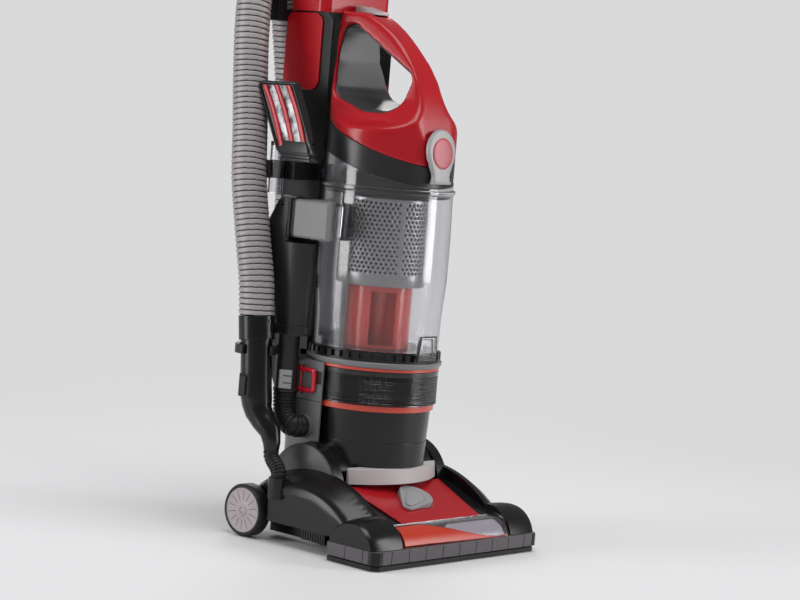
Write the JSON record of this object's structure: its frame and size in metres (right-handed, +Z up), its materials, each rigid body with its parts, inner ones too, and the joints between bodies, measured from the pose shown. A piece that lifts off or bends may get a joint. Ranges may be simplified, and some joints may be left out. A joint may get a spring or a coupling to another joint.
{
  "type": "upright vacuum cleaner",
  "caption": "Upright vacuum cleaner with a clear bagless dirt cup, side stretch hose, stored tool, loop handle and a wide foot with a driven brush roll and rear wheels.",
  "frame": {"origin": "middle of the flat runner under the sole plate, on the floor", "axes": "+Z up, -Y to the machine's front (the guard strip), +X to its right as its user sees it from behind facing forward"},
  "size_m": [0.337, 0.383, 1.095],
  "materials": {
    "housing_black": "polished black moulding",
    "black_plastic": "fine grained black moulding",
    "guard_grey": "satin mid grey moulding",
    "body_grey": "satin light grey moulding",
    "panel_red": "polished deep red moulding",
    "brush_red": "polished orange-red moulding",
    "clear_plastic": "clear moulded polycarbonate",
    "smoke_plastic": "smoke-tinted translucent moulding",
    "trim_orange": "polished orange trim",
    "silver_plastic": "silver-painted moulding",
    "hose_grey": "grey flexible vinyl",
    "soft_rubber": "matt black rubber",
    "tyre_rubber": "smooth black tread",
    "bristle_black": "stiff nylon tufts",
    "steel": "ground steel",
    "motor_steel": "plated pressed steel",
    "motor_copper": "varnished laminations and windings",
    "fan_alloy": "pressed aluminium",
    "filter_white": "pleated filter paper",
    "foam_grey": "open-cell foam"
  },
  "bodies": {
    "foot": {"sole_plate": "black_plastic", "foot_housing": "housing_black", "guard_strip": "guard_grey", "top_panel": "panel_red", "nozzle_window": "clear_plastic", "trunnion_covers": "guard_grey", "foot_pins": "steel", "brush_bearings": "black_plastic", "drive_belt": "soft_rubber", "hose_boot": "soft_rubber"},
    "upright": {"motor_housing": "housing_black", "front_apron": "silver_plastic", "rear_body": "body_grey", "motor_can": "motor_steel", "shaft_bearings": "steel", "exhaust_filter": "filter_white", "filter_cover": "smoke_plastic", "trim_rings": "trim_orange", "deck_ring": "body_grey", "spine": "housing_black", "spine_panels": "panel_red", "hood": "panel_red", "loop_handle": "housing_black", "duct": "housing_black", "inlet_seal": "soft_rubber", "lower_hose": "soft_rubber", "hose_tube": "housing_black", "hose_cuff": "housing_black", "stretch_hose": "hose_grey", "lower_cord_hook": "black_plastic"},
    "wheel_left": {"wheel_hub_left": "silver_plastic", "wheel_tyre_left": "tyre_rubber"},
    "wheel_right": {"wheel_hub_right": "silver_plastic", "wheel_tyre_right": "tyre_rubber"},
    "carriage": {"roller_carriage": "black_plastic"},
    "rollers": {"front_rollers": "black_plastic"},
    "knob": {"height_knob": "guard_grey"},
    "pedal": {"recline_pedal": "guard_grey"},
    "brush": {"brush_core": "brush_red", "brush_bristles": "bristle_black"},
    "rotor": {"armature": "motor_copper", "fan": "fan_alloy"},
    "cup": {"cup_shell": "clear_plastic", "cup_door": "housing_black", "shroud_screen": "body_grey", "cyclone_body": "brush_red", "lid_band": "housing_black", "lid_handle": "panel_red", "handle_liner": "black_plastic", "inlet_box": "black_plastic", "pre_filter": "foam_grey"},
    "lid_catch": {"lid_latch": "silver_plastic"},
    "door_catch": {"door_latch": "clear_plastic"},
    "button": {"cup_button": "silver_plastic"},
    "switch": {"power_switch": "brush_red"},
    "cord_hook": {"upper_cord_hook": "black_plastic"},
    "release_tab": {"hose_release": "black_plastic"},
    "bail": {"filter_bail": "panel_red"},
    "tool": {"tool_head": "black_plastic", "tool_neck": "clear_plastic"}
  },
  "joints": [
    {"name": "recline", "type": "hinge", "parent": "foot", "child": "upright", "pos_m": [0, 0.092, 0.081], "axis": [-1, 0, 0], "range_deg": [0, 58], "deforming": ["hose_boot"]},
    {"name": "wheel_left_turn", "type": "hinge", "parent": "foot", "child": "wheel_left", "pos_m": [-0.1465, 0.155, 0.035], "axis": [1, 0, 0], "continuous": true},
    {"name": "wheel_right_turn", "type": "hinge", "parent": "foot", "child": "wheel_right", "pos_m": [0.1465, 0.155, 0.035], "axis": [1, 0, 0], "continuous": true},
    {"name": "carriage_tilt", "type": "hinge", "parent": "foot", "child": "carriage", "pos_m": [0, 0.064, 0.014], "axis": [1, 0, 0], "range_deg": [0, 12]},
    {"name": "rollers_turn", "type": "hinge", "parent": "carriage", "child": "rollers", "pos_m": [0, 0.022, 0.0113], "axis": [1, 0, 0], "continuous": true},
    {"name": "knob_turn", "type": "hinge", "parent": "foot", "child": "knob", "pos_m": [0, -0.00926, 0.06847], "axis": [0, -0.342, 0.9397], "range_deg": [0, 150]},
    {"name": "pedal_press", "type": "hinge", "parent": "foot", "child": "pedal", "pos_m": [0.1, 0.16, 0.045], "axis": [-1, 0, 0], "range_deg": [0, 12], "stiffness_Nm_per_rad": 0.4},
    {"name": "brush_turn", "type": "hinge", "parent": "foot", "child": "brush", "pos_m": [0, -0.052, 0.023], "axis": [1, 0, 0], "continuous": true},
    {"name": "rotor_turn", "type": "hinge", "parent": "upright", "child": "rotor", "pos_m": [0, 0.092, 0.081], "axis": [1, 0, 0], "continuous": true},
    {"name": "cup_slide", "type": "slide", "parent": "upright", "child": "cup", "axis": [0, -1, 0], "range_m": [0, 0.15]},
    {"name": "lid_latch_swing", "type": "hinge", "parent": "cup", "child": "lid_catch", "pos_m": [0, -0.0008, 0.554], "axis": [-1, 0, 0], "range_deg": [0, 35]},
    {"name": "door_latch_pull", "type": "slide", "parent": "cup", "child": "door_catch", "axis": [0, -1, 0], "range_m": [0, 0.004]},
    {"name": "cup_button_press", "type": "slide", "parent": "cup", "child": "button", "axis": [0, 0, -1], "range_m": [0, 0.004], "stiffness_N_per_m": 400},
    {"name": "switch_rock", "type": "hinge", "parent": "upright", "child": "switch", "pos_m": [0, 0.187, 0.89], "axis": [-1, 0, 0], "range_deg": [0, 14]},
    {"name": "cord_hook_turn", "type": "hinge", "parent": "upright", "child": "cord_hook", "pos_m": [0, 0.214, 0.85], "axis": [0, 1, 0], "range_deg": [0, 180]},
    {"name": "hose_release_press", "type": "slide", "parent": "upright", "child": "release_tab", "axis": [1, 0, 0], "range_m": [0, 0.002], "stiffness_N_per_m": 300},
    {"name": "bail_swing", "type": "hinge", "parent": "upright", "child": "bail", "pos_m": [-0.094, 0.127, 0.213], "axis": [0, 0, -1], "range_deg": [0, 60]},
    {"name": "tool_pull", "type": "slide", "parent": "upright", "child": "tool", "axis": [0, -1, 0], "range_m": [0, 0.09]}
  ],
  "couplings": [
    {"joint": "carriage_tilt", "follows": "knob_turn", "ratio": 0.08},
    {"joint": "brush_turn", "follows": "rotor_turn", "ratio": 0.6667}
  ]
}
